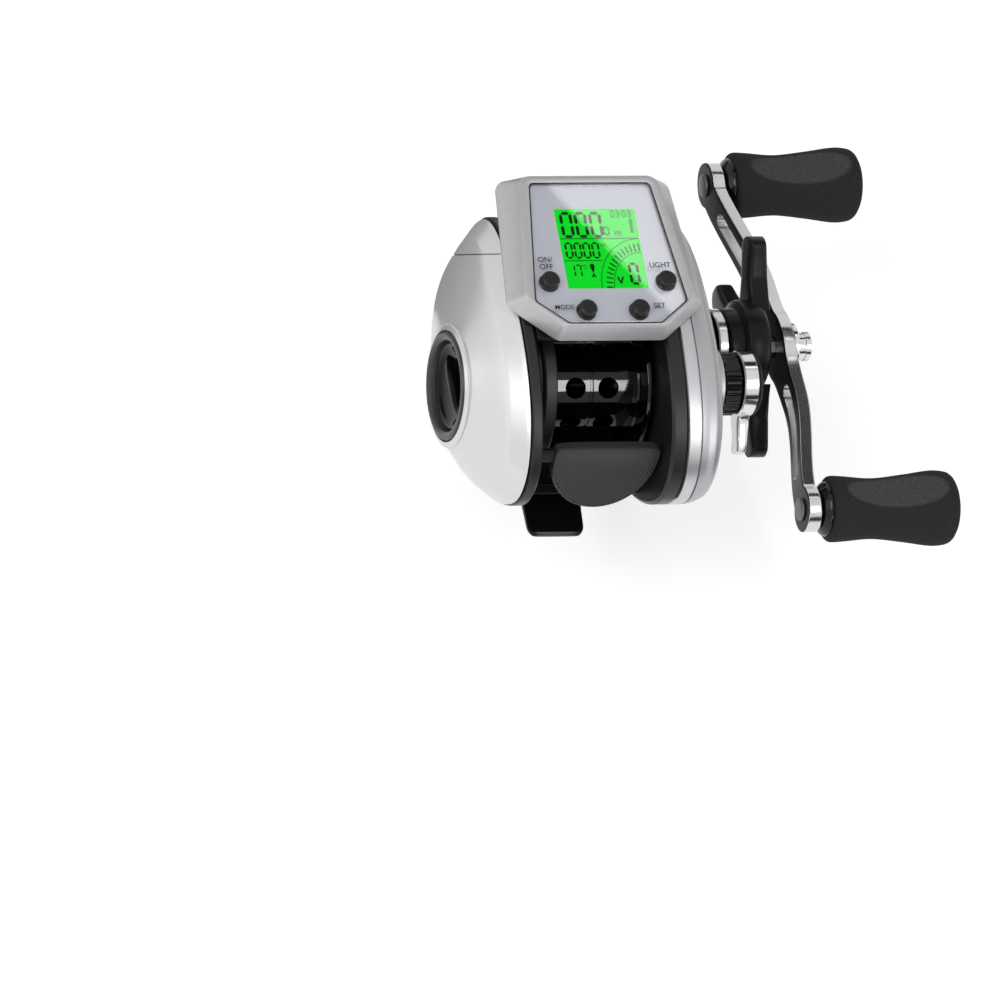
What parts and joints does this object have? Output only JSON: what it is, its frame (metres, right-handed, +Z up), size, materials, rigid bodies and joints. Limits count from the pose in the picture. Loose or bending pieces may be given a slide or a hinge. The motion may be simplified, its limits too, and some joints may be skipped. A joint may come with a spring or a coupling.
{
  "type": "digital baitcasting fishing reel",
  "caption": "Low-profile baitcasting reel with a counter display on top, drilled spool, level wind, star drag, clutch bar and double-grip crank handle.",
  "frame": {"origin": "middle of the foot's flat underside, straight below the spool's axis", "axes": "+X along the spool's axis to the handle, +Y to the rod tip, +Z up off the foot"},
  "size_m": [0.1192, 0.1142, 0.0678],
  "materials": {
    "pearl_silver": "pearl paint, satin",
    "display_grey": "painted moulding, satin",
    "black_anodised": "black anodised, bright cut edges",
    "black_moulding": "fine grain moulding",
    "gloss_black": "gloss",
    "foam": "closed cell foam",
    "polished_steel": "polished",
    "brass": "machined",
    "carbon": "woven friction disc",
    "window": "clear window with a silver back print",
    "screen_green": "lit green screen",
    "board_green": "circuit board",
    "ceramic": "glazed ring"
  },
  "bodies": {
    "reel_body": {"frame": "black_anodised", "reel_foot": "black_moulding", "front_hood": "pearl_silver", "palm_cover": "pearl_silver", "front_cap": "pearl_silver", "dial_bezel": "gloss_black", "brake_housing": "black_moulding", "magnet_ring": "polished_steel", "left_spool_bearing": "polished_steel", "right_spool_bearing": "polished_steel", "gear_cover": "pearl_silver", "one_way_bearing": "polished_steel", "guide_rod": "polished_steel", "display_housing": "display_grey", "display_window": "window", "lcd_screen": "screen_green", "circuit_board": "board_green", "coin_cell": "polished_steel", "display_pedestal": "pearl_silver"},
    "handle": {"drive_shaft": "polished_steel", "drive_gear": "brass", "lay_drive_gear": "black_moulding", "drag_washer": "carbon", "drag_plate": "polished_steel", "drag_collar": "black_anodised", "click_plate": "polished_steel", "crank_arm": "black_anodised", "handle_nut": "polished_steel", "front_knob_pin": "polished_steel", "rear_knob_pin": "polished_steel"},
    "spool_unit": {"spool": "gloss_black", "spool_shaft": "polished_steel", "pinion_gear": "brass"},
    "worm_unit": {"level_wind_worm": "polished_steel", "worm_gear": "black_moulding"},
    "star_wheel": {"star_drag": "black_anodised"},
    "front_knob": {"front_knob_collar": "gloss_black", "front_knob_grip": "foam"},
    "rear_knob": {"rear_knob_collar": "gloss_black", "rear_knob_grip": "foam"},
    "cast_control": {"tension_cap": "black_anodised", "cast_control_lever": "polished_steel", "tension_end_cap": "black_anodised"},
    "brake_control": {"brake_dial": "gloss_black"},
    "clutch_bar": {"thumb_bar": "black_moulding"},
    "guide_carriage": {"line_guide": "black_moulding", "line_guide_eye": "ceramic"},
    "power_key": {"power_button": "black_moulding"},
    "select_key": {"select_button": "black_moulding"},
    "set_key": {"set_button": "black_moulding"},
    "light_key": {"light_button": "black_moulding"}
  },
  "joints": [
    {"name": "handle_spin", "type": "hinge", "parent": "reel_body", "child": "handle", "pos_m": [0, 0.0145, 0.0201], "axis": [1, 0, 0], "continuous": true},
    {"name": "spool_spin", "type": "hinge", "parent": "reel_body", "child": "spool_unit", "pos_m": [0, 0, 0.029], "axis": [1, 0, 0], "continuous": true},
    {"name": "worm_spin", "type": "hinge", "parent": "reel_body", "child": "worm_unit", "pos_m": [0, 0.0275, 0.0201], "axis": [1, 0, 0], "continuous": true},
    {"name": "star_turn", "type": "hinge", "parent": "handle", "child": "star_wheel", "pos_m": [0, 0.0145, 0.0201], "axis": [1, 0, 0], "range_deg": [-180, 180]},
    {"name": "front_knob_spin", "type": "hinge", "parent": "handle", "child": "front_knob", "pos_m": [0, 0.06279, 0.01019], "axis": [1, 0, 0], "continuous": true},
    {"name": "rear_knob_spin", "type": "hinge", "parent": "handle", "child": "rear_knob", "pos_m": [0, -0.03379, 0.03001], "axis": [1, 0, 0], "continuous": true},
    {"name": "cast_control_turn", "type": "hinge", "parent": "reel_body", "child": "cast_control", "pos_m": [0, 0, 0.029], "axis": [1, 0, 0], "range_deg": [-180, 55]},
    {"name": "brake_dial_turn", "type": "hinge", "parent": "reel_body", "child": "brake_control", "pos_m": [0, 0, 0.029], "axis": [1, 0, 0], "range_deg": [0, 270]},
    {"name": "clutch_press", "type": "slide", "parent": "reel_body", "child": "clutch_bar", "axis": [0, -0.3518, -0.9361], "range_m": [0, 0.0035], "stiffness_N_per_m": 120, "springref_m": -0.003},
    {"name": "guide_travel", "type": "slide", "parent": "reel_body", "child": "guide_carriage", "axis": [1, 0, 0], "range_m": [-0.0083, 0.0083]},
    {"name": "power_press", "type": "slide", "parent": "reel_body", "child": "power_key", "axis": [0, 0, -1], "range_m": [0, 0.0005], "stiffness_N_per_m": 300, "springref_m": -0.0005},
    {"name": "select_press", "type": "slide", "parent": "reel_body", "child": "select_key", "axis": [0, 0, -1], "range_m": [0, 0.0005], "stiffness_N_per_m": 300, "springref_m": -0.0005},
    {"name": "set_press", "type": "slide", "parent": "reel_body", "child": "set_key", "axis": [0, 0, -1], "range_m": [0, 0.0005], "stiffness_N_per_m": 300, "springref_m": -0.0005},
    {"name": "light_press", "type": "slide", "parent": "reel_body", "child": "light_key", "axis": [0, 0, -1], "range_m": [0, 0.0005], "stiffness_N_per_m": 300, "springref_m": -0.0005}
  ],
  "couplings": [
    {"joint": "spool_spin", "follows": "handle_spin", "ratio": -5.1667},
    {"joint": "worm_spin", "follows": "handle_spin", "ratio": -1}
  ]
}
